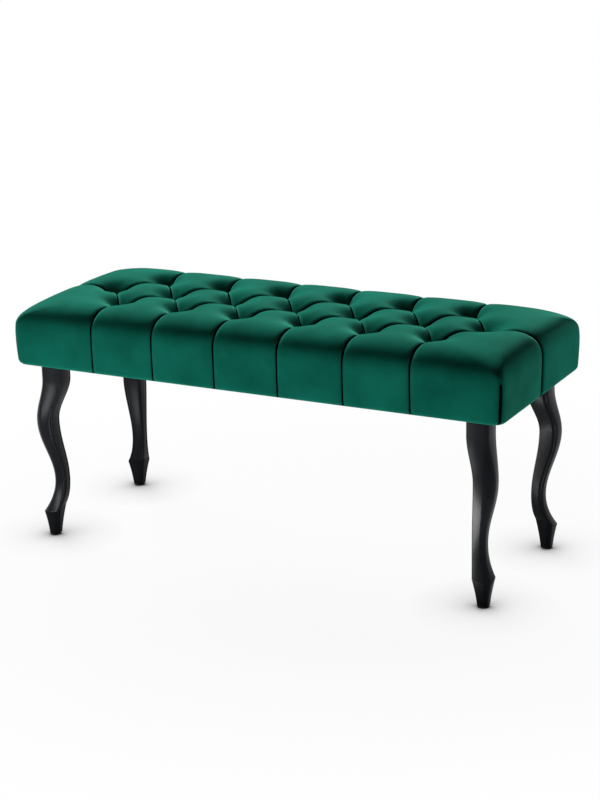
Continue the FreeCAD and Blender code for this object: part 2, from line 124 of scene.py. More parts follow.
def finish_piece(piece, material, slot_name, *stands_for):
    """Give a piece its material and tie it to the frame."""
    piece.data.materials.append(material)
    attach(piece, "root")
    if stands_for:
        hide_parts(*stands_for)
    print(piece.name, len(piece.data.polygons), "faces")

# %% [markdown]
# ## Tufts and folds
#
# Deep diamond tufting is a net of ties. Each tie pulls a pit, the spare cloth between two ties is
# tucked into a fold, and the filling swells up between the folds. One grid over the whole seat
# would cut across the folds and show them as steps, so the cover is made of patches that end on the
# folds: diamonds between four tufts, panels that run from two folds over the edge to the rim, and a
# panel round each corner. Every patch places its points on a fold at the same shares of its length,
# so neighbours meet point to point and weld into one cover.

# %% Tuft positions and shares along a fold
FOLD_SLIT, PLEAT_SLIT, WALL = 1.1 * MM, 1.4 * MM, 0.2 * MM
CLOSE_REACH = 14 * MM


def tuft_rows():
    """Plan positions of the middle, front and back tufts."""
    middle = np.array([((i - (MIDDLE_TUFTS - 1) / 2) * TUFT_PITCH, 0) for i in range(MIDDLE_TUFTS)])
    half = middle[:-1] + np.array([TUFT_PITCH / 2, 0])
    return middle, half - np.array([0, TUFT_ROW]), half + np.array([0, TUFT_ROW])


def fold_shares(steps=44):
    """Shares from 0 to 1: the slits' walls at both ends, then steps that widen as a power to the middle."""
    walls = [0, FOLD_SLIT / PILLOW_HEIGHT, (FOLD_SLIT + WALL) / PILLOW_HEIGHT]
    walls += [PLEAT_SLIT * 2 / TUFT_PITCH, (PLEAT_SLIT + WALL) * 2 / TUFT_PITCH]
    rest = walls[-1] + (0.5 - walls[-1]) * np.linspace(0, 1, steps + 1)[1:] ** 1.5
    half = np.concatenate([walls, rest])
    return np.concatenate([half, 1 - half[-2::-1]])


middle_row, front_row, back_row = tuft_rows()
tufts = np.concatenate([middle_row, front_row, back_row])
shares = fold_shares()
folds = [(row[i], middle_row[i + j])
         for row in (front_row, back_row) for i in range(len(row)) for j in (0, 1)]
print(len(tufts), "tufts,", len(folds), "folds,", len(shares), "points on a fold")

# %% Runs of the rings from the crown down to the rim and under it
def ring_profile(roll=36, side=18, rim=7, under=4):
    """Run in from the widest outline, level, and tilt of the direction the cloth falls in, ring by ring.

    The roll follows the crown's curve, the side follows a parabola that draws in, the rim is a quarter
    circle and the cloth then turns in flat under the rails. The tilt eases from upright on the top to
    level on the side.
    """
    roll_run = FIRST_RUN * np.linspace(1, 0, roll, endpoint=False) ** 2.4
    share = np.linspace(0, 1, side, endpoint=False)
    turn = np.linspace(0, math.pi / 2, rim, endpoint=False)
    flat = np.linspace(SIDE_DRAW + RIM_RADIUS, FLANGE_RUN, under)
    run = [roll_run, SIDE_DRAW * share ** 2, SIDE_DRAW + RIM_RADIUS * (1 - np.cos(turn)), flat]
    level = [crown_level(roll_run), ROLL_LEVEL + (RIM + RIM_RADIUS - ROLL_LEVEL) * share]
    level += [RIM + RIM_RADIUS * (1 - np.sin(turn)), np.full(under, RIM)]
    tilt = [math.pi / 2 * (1 - (1 - roll_run / FIRST_RUN) ** 3), np.zeros(side)]
    tilt += [-turn, np.full(under, -math.pi / 2)]
    return np.concatenate(run), np.concatenate(level), np.concatenate(tilt)


def crown_level(run):
    """Height of the untufted top: a superellipse, upright at the side and level at the crown."""
    share = np.clip(1 - run / CROWN_RUN, 0, 1)
    return ROLL_LEVEL + (TOP - ROLL_LEVEL) * (1 - share ** CROWN_POWER) ** (1 / CROWN_POWER)


def plan_run(plan):
    """Run of the ring through a point in plan.

    Along a side it is the distance from the edge. Round a corner the ring is an arc whose radius grows by
    the run, and setting the point on that arc gives a quadratic in the run, of which the larger root is
    the ring.
    """
    from_end = HALF_LENGTH - np.abs(plan[..., 0])
    from_side = HALF_DEPTH - np.abs(plan[..., 1])
    a, b = CORNER_RADIUS - from_end, CORNER_RADIUS - from_side
    p, q = 4 * (a + b) - 2 * CORNER_RADIUS, a * a + b * b - CORNER_RADIUS ** 2
    root = (-p + np.sqrt(np.maximum(p * p - 28 * q, 0))) / 14
    on_arc = (2 * root + np.minimum(a, b) > 0) & (p * p > 28 * q)
    return np.where(on_arc, root, np.minimum(from_end, from_side))

# %% Patches in plan
def diamond(left):
    """Pillow between a middle tuft and the next: shares of two folds from the left tuft span it."""
    start, front, back = middle_row[left], front_row[left], back_row[left]
    u, v = shares[:, None, None], shares[None, :, None]
    return start + u * (front - start) + v * (back - start)


def side_rings(columns, side, run):
    """Rings of a front or back panel: straight lines, run in from the edge."""
    x = np.broadcast_to(columns, (len(run), len(columns)))
    y = np.broadcast_to(side * (HALF_DEPTH - run)[:, None], x.shape)
    return np.stack([x, y], axis=-1), np.broadcast_to([0.0, side], x.shape + (2,))


def corner_rings(sx, sy, run, straight=36):
    """Rings of a corner panel from its front or back pleat, round the corner, to the end pleat.

    The points keep the fold's close spacing by both pleats, then run evenly to the corner arc and round it.
    """
    near = shares[:9] * TUFT_PITCH / 2
    arc = len(shares) - 1 - 2 * straight
    radius = (CORNER_RADIUS + run)[:, None]
    half_x, half_y = (HALF_LENGTH - run)[:, None], (HALF_DEPTH - run)[:, None]
    even = np.linspace(0, 1, straight - 7)[None, 1:]
    pleat_x = front_row[-1, 0]
    along_x, along_y = half_x - radius - pleat_x, half_y - radius
    near_rows = np.broadcast_to(near, (len(run), 9))
    first = np.concatenate([near_rows, near[-1] + (along_x - near[-1]) * even], axis=1)[:, :-1] + pleat_x
    last = np.concatenate([near_rows, near[-1] + (along_y - near[-1]) * even], axis=1)[:, :-1][:, ::-1]
    angle = np.linspace(math.pi / 2, 0, arc + 1)[None, :]
    arc_x, arc_y = half_x - radius + radius * np.cos(angle), half_y - radius + radius * np.sin(angle)
    x = np.concatenate([first, arc_x, np.broadcast_to(half_x, last.shape)], axis=1)
    y = np.concatenate([np.broadcast_to(half_y, first.shape), arc_y, last], axis=1)
    turn = np.concatenate([np.full(straight, math.pi / 2), angle[0], np.zeros(straight)])
    out = np.broadcast_to(np.stack([sx * np.cos(turn), sy * np.sin(turn)], axis=-1), x.shape + (2,))
    return np.stack([sx * x, sy * y], axis=-1), out


def top_rows(fold, outward, ring, near=13, even=22):
    """Rows from a fold out to the first ring: close together by the fold, then even."""
    away = ring - fold
    reach = np.linalg.norm(away, axis=-1, keepdims=True)
    away = away / reach
    slant = np.sum(away * outward, axis=-1, keepdims=True)
    lip = FOLD_SLIT + WALL + CLOSE_REACH * np.linspace(0, 1, near)[1:] ** 1.6
    offsets = np.concatenate([[0, FOLD_SLIT, FOLD_SLIT + WALL], lip])
    close = fold + away * (offsets[:, None, None] / slant)
    rest = np.linspace(0, 1, even + 1)[1:-1, None, None]
    return np.concatenate([close, close[-1] + (ring - close[-1]) * rest])


def outer_patch(fold, outward, rings, out):
    """Points and outward directions of a panel: its top rows, then its rings."""
    top = top_rows(fold, outward, rings[0])
    run, level, tilt = ring_profile()
    plan = np.concatenate([top, rings])
    height = np.concatenate([crown_level(plan_run(top)), np.broadcast_to(level[:, None], rings.shape[:2])])
    side = np.concatenate([np.zeros_like(top), out * np.cos(tilt)[:, None, None]])
    up = np.concatenate([np.ones(top.shape[:2]), np.broadcast_to(np.sin(tilt)[:, None], rings.shape[:2])])
    return np.dstack([plan, height]), np.dstack([side, up])


def side_patch(row, left, side):
    """Panel between two neighbouring pleats of the front or the back."""
    valley = [row[left] + shares[:, None] * (middle_row[left + 1] - row[left])]
    valley += [middle_row[left + 1] + shares[1:, None] * (row[left + 1] - middle_row[left + 1])]
    fold = np.concatenate(valley)
    outward = np.broadcast_to(np.array([0, side * TUFT_PITCH / 2]) / FOLD_LENGTH, fold.shape)
    return outer_patch(fold, outward, *side_rings(fold[:, 0], side, ring_profile()[0]))


def corner_patch(sx, sy):
    """Panel round one corner, from the fold between its two last tufts."""
    start = np.array([sx * front_row[-1, 0], sy * TUFT_ROW])
    end = np.array([sx * middle_row[-1, 0], 0.0])
    fold = start + shares[:, None] * (end - start)
    outward = np.broadcast_to(np.array([sx * TUFT_ROW, sy * TUFT_PITCH / 2]) / FOLD_LENGTH, fold.shape)
    return outer_patch(fold, outward, *corner_rings(sx, sy, ring_profile()[0]))

# %% [markdown]
# ## How far the cloth falls
#
# A stuffed pillow between two seams is close to a parabola across, so the cloth falls towards each
# fold as a square. Each tuft adds a wide pit and a narrow neck. At the fold itself the cloth rolls
# over on a small radius and drops into a slit, where the spare cloth is tucked. It could be
# simulated, but the slits are 2 to 3 mm wide on a cover a metre long, so the simulated mesh would
# have to be finer than a millimetre all over. The slits are what makes the pattern read, so their
# shape is written as a formula instead.

# %% Fall of the cloth
PILLOW_DIP, PILLOW_REACH = 5 * MM, 44 * MM
PIT_DIP, PIT_REACH = 15.5 * MM, 36 * MM
NECK_DIP, NECK_REACH = 3.5 * MM, 13 * MM
LIP_DIP, LIP_REACH = 4.5 * MM, 6 * MM
UNDER_DIP, UNDER_REACH = 6.5 * MM, 11 * MM
SLIT_DIP = 7 * MM
PLEAT_DIP, PLEAT_REACH = 2.6 * MM, 40 * MM
PLEAT_LIP, PLEAT_LIP_REACH = 2.8 * MM, 9 * MM
PLEAT_SLIT_DIP = 3 * MM
DEEPEST = 28.3 * MM
TUFT_FADE = 9 * MM
CORNER_DROOP, CORNER_REACH = 6 * MM, 80 * MM
CORNER_SLIT, CORNER_LIP, CORNER_LIP_REACH = 1.0 * MM, 4.5 * MM, 16 * MM
CORNER_SLIT_DIP = 3 * MM
CORNER_TOP, CORNER_TOP_FADE, CORNER_NEAR = ROLL_LEVEL + 20 * MM, 16 * MM, 40 * MM


def to_segment(plan, start, end):
    """Distance in plan from every point to the line between two tufts."""
    along = end - start
    share = np.clip(((plan - start) @ along) / (along @ along), 0, 1)
    return np.linalg.norm(plan - start - share[..., None] * along, axis=-1)


def pillow_fall(distance, dip, reach):
    """Parabola that is dip deep on the seam and level at reach: dip (1 - d / reach)^2."""
    return dip * np.clip(1 - distance / reach, 0, 1) ** 2


def lip_fall(distance, slit, dip, reach, slit_dip):
    """Roll over the lip, dip (1 - sqrt(1 - (1 - d / reach)^2)) from the slit's edge, then the slit itself."""
    near = np.clip(1 - (distance - slit - WALL) / reach, 0, 1)
    wall = np.clip((slit + WALL - distance) / WALL, 0, 1)
    return dip * (1 - np.sqrt(1 - near ** 2)) + slit_dip * wall


def pleat_distance(grid):
    """Distance to the pleats that run from the outer tufts over the edge and down to the rim."""
    x, y = grid[..., 0], grid[..., 1]
    front = [np.hypot(x - px, np.maximum(0, y - py)) for px, py in front_row]
    back = [np.hypot(x - px, np.maximum(0, py - y)) for px, py in back_row]
    last = ((middle_row[0, 0], -1), (middle_row[-1, 0], 1))
    ends = [np.hypot(np.maximum(0, side * (px - x)), y) for px, side in last]
    return np.min(front + back + ends, axis=0)


def corner_distance(grid):
    """Distance to the upright fold at the nearest corner, which lies on the corner's diagonal."""
    from_end, from_side = HALF_LENGTH - np.abs(grid[..., 0]), HALF_DEPTH - np.abs(grid[..., 1])
    return np.abs(from_end - from_side) * math.sqrt(0.5)


def corner_share(grid):
    """How far the corner fold is there: only close to a corner, and fading out on the roll above it."""
    from_end, from_side = HALF_LENGTH - np.abs(grid[..., 0]), HALF_DEPTH - np.abs(grid[..., 1])
    below = np.clip((CORNER_TOP - grid[..., 2]) / CORNER_TOP_FADE, 0, 1)
    return below * (np.hypot(from_end, from_side) < CORNER_NEAR)


def fold_distances(grid):
    """Distances to the folds that rise to the right in plan, to those that fall, and to the pleats.

    Spare cloth goes under the near lip of a rising fold, so it also says which points lie on the far side.
    """
    plan = grid[..., :2]
    up = [(a, b) if b[0] > a[0] else (b, a) for a, b in folds if (b - a).prod() > 0]
    from_each = np.array([to_segment(plan, a, b) for a, b in up])
    beyond = np.array([(plan - a) @ np.array([a[1] - b[1], b[0] - a[0]]) / FOLD_LENGTH for a, b in up])
    nearest = from_each.argmin(axis=0)[None]
    rising = np.take_along_axis(from_each, nearest, axis=0)[0]
    far = np.take_along_axis(beyond, nearest, axis=0)[0] > 0.1 * MM
    falling = np.min([to_segment(plan, a, b) for a, b in folds if (b - a).prod() < 0], axis=0)
    return rising, falling, pleat_distance(grid), far


def cloth_fall(grid):
    """How far below the untufted seat the cloth lies, measured along the outward direction."""
    plan = grid[..., :2]
    to_each = np.array([np.linalg.norm(plan - tuft, axis=-1) for tuft in tufts])
    rising, falling, pleat, far = fold_distances(grid)
    from_end, from_side = HALF_LENGTH - np.abs(plan[..., 0]), HALF_DEPTH - np.abs(plan[..., 1])
    fall = PIT_DIP * np.exp(-(to_each / PIT_REACH) ** 2).sum(axis=0)
    fall += NECK_DIP * np.exp(-(to_each / NECK_REACH) ** 2).sum(axis=0)
    fall += pillow_fall(rising, PILLOW_DIP, PILLOW_REACH) + pillow_fall(falling, PILLOW_DIP, PILLOW_REACH)
    fall += pillow_fall(pleat, PLEAT_DIP, PLEAT_REACH)
    fade = 1 - np.exp(-(to_each.min(axis=0) / TUFT_FADE) ** 2)
    dip, reach = np.where(far, UNDER_DIP, LIP_DIP), np.where(far, UNDER_REACH, LIP_REACH)
    fold_lip = lip_fall(rising, FOLD_SLIT, dip, reach, SLIT_DIP)
    fold_lip = np.maximum(fold_lip, lip_fall(falling, FOLD_SLIT, LIP_DIP, LIP_REACH, SLIT_DIP))
    pleat_lip = lip_fall(pleat, PLEAT_SLIT, PLEAT_LIP, PLEAT_LIP_REACH, PLEAT_SLIT_DIP)
    fall = np.minimum(fall + fade * np.maximum(fold_lip, pleat_lip), DEEPEST)
    top = np.clip((grid[..., 2] - ROLL_LEVEL) / (TOP - ROLL_LEVEL), 0, 1)
    fall += CORNER_DROOP * top * np.exp(-(from_end ** 2 + from_side ** 2) / CORNER_REACH ** 2)
    corner_lip = lip_fall(corner_distance(grid), CORNER_SLIT, CORNER_LIP, CORNER_LIP_REACH, CORNER_SLIT_DIP)
    return fall + corner_share(grid) * corner_lip

# %% Make the cover
def drape(points, outward):
    """Move a patch in along its outward directions by the cloth's fall; the turned-in flange stays flat."""
    fall = np.where(outward[..., 2] < -0.9, 0, cloth_fall(points))
    return points - outward * fall[..., None]


patches = []
for left in range(MIDDLE_TUFTS - 1):
    plan = diamond(left)
    level = np.full(plan.shape[:2], TOP)
    patches.append(drape(np.dstack([plan, level]), np.dstack([np.zeros_like(plan), np.ones_like(level)])))
for row, side in ((front_row, -1), (back_row, 1)):
    patches += [drape(*side_patch(row, left, side)) for left in range(len(row) - 1)]
    patches += [drape(*corner_patch(sx, side)) for sx in (-1, 1)]
velvet_cover = surface("velvet_seat_cover", patches, weld=0.02 * MM)
print(len(patches), "patches")

# %% Painted shade in the folds
# The shade inside the folds is painted into the velvet's colour, so each point keeps how far into a fold it
# lies. Each fold is painted dark for some way past its slit and fades over a shorter way.
SHADE_FADE, FAR_FADE, CORNER_FADE = 1.0 * MM, 2.4 * MM, 3.0 * MM
NEAR_SHADE, FAR_SHADE, FALLING_SHADE = 1.2 * MM, 5.5 * MM, 1.0 * MM
PLEAT_SHADE, PLEAT_WIDER, END_SHARE = 0.8 * MM, 1.0 * MM, 1.2
CORNER_SHADE = 3.4 * MM
END_START = 12 * MM


def shaded_by(distance, reach, fade):
    """Share of painted shade: 1 in a slit and 0 beyond reach from its middle, (reach - distance) / fade kept
    between 0 and 1.
    """
    return np.clip((reach - distance) / fade, 0, 1)


places = np.empty(len(velvet_cover.data.vertices) * 3, dtype=np.float32)
velvet_cover.data.vertices.foreach_get("co", places)
places = places.reshape(-1, 3)
rising, falling, pleat, far = fold_distances(places)
shade_reach, fade = np.where(far, FAR_SHADE, NEAR_SHADE), np.where(far, FAR_FADE, SHADE_FADE)
in_rising = shaded_by(rising, FOLD_SLIT + shade_reach, fade)
in_falling = shaded_by(falling, FOLD_SLIT + FALLING_SHADE, SHADE_FADE)
on_top = np.clip((places[:, 2] - ROLL_LEVEL) / (TOP - ROLL_LEVEL), 0, 1)
# The painted shade is wider beside the front pleats on the top and along the pleats at the ends.
left_of_pleat = np.floor((places[:, 0] - front_row[0, 0]) / TUFT_PITCH * 2) % 2 == 1
on_end = np.abs(places[:, 0]) > np.abs(tufts[:, 0]).max() + END_START
wider = np.maximum(on_top * left_of_pleat * (places[:, 1] < 0), END_SHARE * on_end)
in_pleat = shaded_by(pleat, PLEAT_SLIT + PLEAT_SHADE + PLEAT_WIDER * wider, SHADE_FADE)
in_corner = shaded_by(corner_distance(places), CORNER_SLIT + CORNER_SHADE, CORNER_FADE)
in_corner *= corner_share(places)
# Painted shade: one share per point, the largest of the four kinds of fold.
painted_fold_shade = np.max([in_rising, in_falling, in_pleat, in_corner], axis=0).astype(np.float32)
attribute = velvet_cover.data.attributes.new("painted_fold_shade", "FLOAT", "POINT")
attribute.data.foreach_set("value", painted_fold_shade)
corners = np.empty(len(velvet_cover.data.loops), dtype=np.int32)
velvet_cover.data.loops.foreach_get("vertex_index", corners)
painted_shade = painted_fold_shade[corners].reshape(-1, 4).mean(axis=1) > 0.6
print("points in folds:", int((painted_fold_shade > 0.5).sum()), "pressed faces:", int(painted_shade.sum()))

# %% [markdown]
# ## Velvet
#
# Velvet is a short upright pile. Light that grazes the tips of the pile comes back bright, and light that
# falls straight into it is lost, so it is a dark, rough green with a strong sheen. Noise at two scales gives
# the brushed patches and the grain of the pile.

# %% Material helpers
def new_material(name):
    """Material with an empty node tree but for a Principled shader wired to the output."""
    material = bpy.data.materials.new(name)
    material.use_nodes = True
    tree = material.node_tree
    shader = next(node for node in tree.nodes if node.type == "BSDF_PRINCIPLED")
    return material, tree, shader


def noise(tree, scale, detail=2.0, stretch=(1, 1, 1)):
    """Noise on Object coordinates, scale in cycles per metre."""
    coordinates = tree.nodes.new("ShaderNodeTexCoord")
    mapping = tree.nodes.new("ShaderNodeMapping")
    mapping.inputs["Scale"].default_value = stretch
    texture = tree.nodes.new("ShaderNodeTexNoise")
    texture.inputs["Scale"].default_value = scale
    texture.inputs["Detail"].default_value = detail
    tree.links.new(coordinates.outputs["Object"], mapping.inputs["Vector"])
    tree.links.new(mapping.outputs["Vector"], texture.inputs["Vector"])
    return texture.outputs["Fac"]


def ramp(tree, value, low, high, low_at=0.3, high_at=0.7):
    """Blend from one colour to another as value rises."""
    node = tree.nodes.new("ShaderNodeValToRGB")
    node.color_ramp.elements[0].position = low_at
    node.color_ramp.elements[0].color = (*low, 1)
    node.color_ramp.elements[1].position = high_at
    node.color_ramp.elements[1].color = (*high, 1)
    tree.links.new(value, node.inputs["Fac"])
    return node.outputs["Color"]


def add_bump(tree, shader, value, distance, strength=1.0):
    """Fine relief: value moves the surface by up to distance."""
    node = tree.nodes.new("ShaderNodeBump")
    node.inputs["Distance"].default_value = distance
    node.inputs["Strength"].default_value = strength
    tree.links.new(value, node.inputs["Height"])
    tree.links.new(node.outputs["Normal"], shader.inputs["Normal"])

# %% Velvet material
VELVET_DARK, VELVET_LIGHT = (0.003, 0.088, 0.060), (0.006, 0.145, 0.100)
# Near-black colour of the painted shade in the folds.
FOLD_SHADE_COLOUR = (0.0003, 0.002, 0.0015, 1)


def velvet():
    """Dark rough green with a tinted sheen, with painted shade mixed in by how far each point lies in a fold.
    """
    material, tree, shader = new_material("green_velvet")
    colour = ramp(tree, noise(tree, 14, 4), VELVET_DARK, VELVET_LIGHT, 0.3, 0.75)
    painted_fold_shade = tree.nodes.new("ShaderNodeAttribute")
    painted_fold_shade.attribute_name = "painted_fold_shade"
    # Painted shade: the colour is mixed towards near black by the fold share.
    shade = tree.nodes.new("ShaderNodeMix")
    shade.data_type = "RGBA"
    shade.inputs["B"].default_value = FOLD_SHADE_COLOUR
    tree.links.new(painted_fold_shade.outputs["Fac"], shade.inputs["Factor"])
    tree.links.new(colour, shade.inputs["A"])
    tree.links.new(shade.outputs["Result"], shader.inputs["Base Color"])
    shader.inputs["Roughness"].default_value = 0.9
    shader.inputs["Specular IOR Level"].default_value = 0.0
    shader.inputs["Sheen Weight"].default_value = 0.8
    shader.inputs["Sheen Roughness"].default_value = 0.36
    shader.inputs["Sheen Tint"].default_value = (0.10, 0.52, 0.37, 1)
    add_bump(tree, shader, noise(tree, 1400, 1), 0.3 * MM, 0.5)
    return material


def shaded_fold_velvet():
    """Painted shade for faces deep in a fold: nearly black and without sheen."""
    material, tree, shader = new_material("shaded_fold_velvet")
    colour = ramp(tree, noise(tree, 200, 2), FOLD_SHADE_COLOUR[:3], (0.0006, 0.006, 0.0042))
    tree.links.new(colour, shader.inputs["Base Color"])
    shader.inputs["Roughness"].default_value = 1.0
    shader.inputs["Specular IOR Level"].default_value = 0.0
    return material


finish_piece(velvet_cover, velvet(), "velvet", "velvet_cover")
velvet_cover.data.materials.append(shaded_fold_velvet())
# Faces deep in a fold take the nearly black painted-shade material.
velvet_cover.data.polygons.foreach_set("material_index", painted_shade.astype(np.int32))

# %% [markdown]
# ## Soft layers inside
#
# The foam is closed in and never shows, so it is a plain slab cut to size. The wadding is wrapped
# over it like a lid with soft edges, and the ties pull the cover down on to it. The lining is a
# thin sheet stapled under the rails, which hangs a little slack between them. All three are rings
# of a round-cornered rectangle, carried along a profile, so one function makes them.

# %% Rings and fillings
def layer_rings(half_x, half_y, run, level, radius, arc=5, along=90, across=34):
    """Rings of a round-cornered rectangle, each run in from its outline and at its own level."""
    sizes = (half_x, half_y, level)
    half_x, half_y, level = [np.broadcast_to(value, run.shape)[:, None] for value in sizes]
    width, depth = half_x - run[:, None], half_y - run[:, None]
    round_by = np.clip(depth, 0, radius)
    bend = np.linspace(0, math.pi / 2, arc)[None, :]
    flat_x, flat_y = width - round_by, depth - round_by
    x = [flat_x + round_by * np.cos(bend), flat_x * np.linspace(1, -1, along)[None, 1:-1]]
    y = [flat_y + round_by * np.sin(bend), np.broadcast_to(depth, (len(run), along - 2))]
    x += [-flat_x - round_by * np.sin(bend), np.broadcast_to(-width, (len(run), across - 2))]
    y += [flat_y + round_by * np.cos(bend), flat_y * np.linspace(1, -1, across)[None, 1:-1]]
    x, y = np.concatenate(x, axis=1), np.concatenate(y, axis=1)
    plan = np.dstack([np.concatenate([x, -x], axis=1), np.concatenate([y, -y], axis=1)])
    return np.dstack([plan, np.broadcast_to(level, plan.shape[:2])])


def fibre(name, low, high, scale, relief):
    """Matt filling with an open, uneven surface."""
    material, tree, shader = new_material(name)
    value = noise(tree, scale, 6)
    tree.links.new(ramp(tree, value, low, high), shader.inputs["Base Color"])
    shader.inputs["Roughness"].default_value = 0.95
    add_bump(tree, shader, value, relief)
    return material

# %% Foam
def slab_rings(low, high, radius, steps=8, **counts):
    """Closed slab: from its centre line out along the bottom, up the side and back in over the top."""
    out = np.linspace(high[1], 0, steps)
    run = np.concatenate([out, np.zeros(steps - 2), out[::-1]])
    side = np.linspace(low[2], high[2], steps)[1:-1]
    level = np.concatenate([np.full(steps, low[2]), side, np.full(steps, high[2])])
    return layer_rings(high[0], high[1], run, level, radius, **counts)


foam_slab = surface("foam_slab", [slab_rings(*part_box("foam_core"), 2 * MM)], wrap=True, weld=0.05 * MM)
foam = fibre("open_foam", (0.70, 0.63, 0.42), (0.84, 0.78, 0.58), 420, 0.6 * MM)
finish_piece(foam_slab, foam, "foam", "foam_core")

# %% Wadding
WADDING_WALL, WADDING_CROWN, WADDING_EDGE = 6 * MM, 8 * MM, 5 * MM


def wadding_rings(low, high):
    """Lid of even wadding: out over the top from the centre line, round the edge, down and back inside."""
    turn = np.linspace(0, math.pi / 2, 6)[1:-1]
    over = np.linspace(high[1], WADDING_EDGE, 12)
    down = np.linspace(high[2] - WADDING_EDGE, low[2], 10)
    up = np.linspace(low[2], high[2] - WADDING_CROWN, 10)
    run = [over, WADDING_EDGE * (1 - np.sin(turn)), 0 * down, WADDING_WALL + 0 * up]
    run.append(np.linspace(WADDING_WALL, high[1], 12)[1:])
    level = [high[2] + 0 * over, high[2] - WADDING_EDGE * (1 - np.cos(turn)), down, up, np.full(11, up[-1])]
    return layer_rings(high[0], high[1], np.concatenate(run), np.concatenate(level), 12 * MM)


wadding = surface("wadding_lid", [wadding_rings(*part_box("wadding_layer"))], wrap=True, weld=0.05 * MM)
fluff = fibre("fibre_wadding", (0.80, 0.80, 0.78), (0.93, 0.93, 0.92), 160, 1.0 * MM)
finish_piece(wadding, fluff, "wadding", "wadding_layer")

# %% Lining
LINING_SAG, LINING_RIPPLE, RIPPLE_PITCH = 1.6 * MM, 0.25 * MM, 58 * MM
INSIDE_X, INSIDE_Y = 412 * MM, 150 * MM


def slack(rings):
    """Sag inside the rails as powers of the share across, and a light ripple towards the staples."""
    x, y = np.abs(rings[..., 0]) / INSIDE_X, np.abs(rings[..., 1]) / INSIDE_Y
    inside = np.clip(1 - x ** 8, 0, 1) * np.clip(1 - y ** 4, 0, 1)
    ripple = np.cos(rings[..., 0] * 2 * math.pi / RIPPLE_PITCH) * np.clip(y, 0, 1) ** 2
    rings[..., 2] -= inside * (LINING_SAG + LINING_RIPPLE * ripple)
    return rings


lining_low, lining_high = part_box("dust_cover")
lining_rings = slack(slab_rings(lining_low, lining_high, 12 * MM, 20))
lining_sheet = surface("stapled_lining", [lining_rings], wrap=True, weld=0.02 * MM)
lining = fibre("black_lining", (0.008, 0.008, 0.009), (0.022, 0.022, 0.024), 900, 0.15 * MM)
finish_piece(lining_sheet, lining, "lining", "dust_cover")

# %% [markdown]
# ## Cabriole legs
#
# The leg is one square section carried down an S: a straight block, a knee that swells towards the
# corner, a slim ankle and a toe that flicks out to a sharp lip, with a tapered foot below it. The
# outer corner is rounded, the other three edges are crisper, the faces bow a little and a groove
# runs beside the edges of the inner faces. Lacquered wood shows every facet, so the leg is a fine
# grid rather than the solid.

# %% Leg sizes
# Offset towards the corner, side of the square, roll of the outer edge as a share of the side, and level.
BLOCK = np.array([0, 40.4 * MM, 0.16, 318 * MM])
KNEE = np.array([16 * MM, 35.5 * MM, 0.50, 235 * MM])
ANKLE = np.array([-1 * MM, 23 * MM, 0.36, 112 * MM])
TOE = np.array([11.4 * MM, 33 * MM, 0.30, 47 * MM])
SOLE = np.array([11.7 * MM, 24.3 * MM, 0.30, 25 * MM])
TIP = np.array([12 * MM, 18.5 * MM, 0.30, 3 * MM])
SIDE_ARRIS, INNER_ARRIS = 2.6 * MM, 1.0 * MM
OUTER_BOW, INNER_BOW = 0.06, 0.04
GROOVE_AT, GROOVE_DEPTH = np.array([0.6, 2.8, 5.2]) * MM, 5 * MM
LIP_RISE, LIP_STEP = 7 * MM, 0.6 * MM
CAP_SHARES = np.array([0.001, 0.5, 0.97])
GLIDE_RADIUS = 8 * MM
LEG_CORNERS = {"front_left": (-1, -1), "front_right": (1, -1), "back_left": (-1, 1), "back_right": (1, 1)}
leg_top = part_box("leg_back_right")[1][2]
glide_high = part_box("foot_glides")[1]
LEG_X = glide_high[0] - GLIDE_RADIUS - TIP[0]
LEG_Y = glide_high[1] - GLIDE_RADIUS - TIP[0]
print("leg axis at %.1f, %.1f mm" % (LEG_X / MM, LEG_Y / MM))

# %% Leg surface
def leg_rows(start, end, steps, ease):
    """Rows of offset, side, roll and level between two bends: the level runs evenly, the rest is eased."""
    share = np.linspace(0, 1, steps, endpoint=False)[:, None]
    rows = start + (end - start) * ease(share)
    rows[:, 3:] = start[3] + (end[3] - start[3]) * share
    return rows


def sweep(share):
    """Ease out of one bend and into the next, half a cosine wave."""
    return (1 - np.cos(np.pi * share)) / 2


def foot_rows(steps):
    """Rows below the lip: a parabola through the lip, the half-way section and the tip."""
    share = np.linspace(0, 1, steps)[:, None]
    rows = TOE * (1 - share) * (1 - 2 * share) + SOLE * 4 * share * (1 - share)
    rows += TIP * share * (2 * share - 1)
    rows[:, 3] -= LIP_STEP * (1 - share[:, 0])
    return rows


def leg_low_end(level):
    """How far the sections tip towards the nose: none at the ankle and the tip, full at the lip."""
    above = np.clip((ANKLE[3] - level) / (ANKLE[3] - TOE[3]), 0, 1) ** 2
    below = np.clip((level - TIP[3]) / (TOE[3] - TIP[3]), 0, 1)
    return np.where(level >= TOE[3] - 1e-6, above, below)


